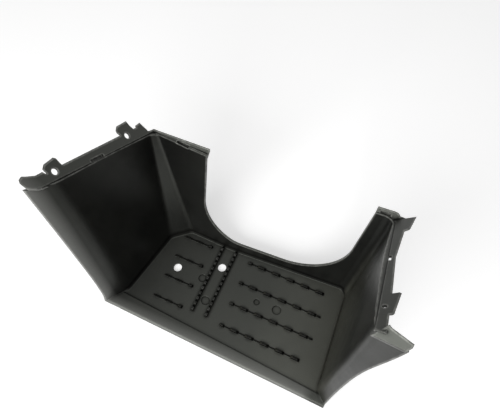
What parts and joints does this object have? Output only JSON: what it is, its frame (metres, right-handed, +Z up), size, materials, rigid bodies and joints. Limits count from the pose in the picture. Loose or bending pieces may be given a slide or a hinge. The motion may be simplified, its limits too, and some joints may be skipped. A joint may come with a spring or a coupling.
{
  "type": "footwell panel",
  "caption": "Moulded left footwell panel of a quad bike: a treaded floor with raised front, rear and inner walls, a U-shaped cut-out and a leaning lip with fixing tabs.",
  "frame": {"origin": "on the flat underside of the floor, between the two serrated ribs on the middle line of the treads", "axes": "+X towards the vehicle's rear, +Y inwards to the vehicle, +Z up, in which it stands on its floor"},
  "size_m": [0.3679, 0.2003, 0.2725],
  "materials": {
    "moulded_plastic": "satin black, fine grain"
  },
  "bodies": {
    "root": {"footwell_panel": "moulded_plastic"}
  },
  "joints": []
}
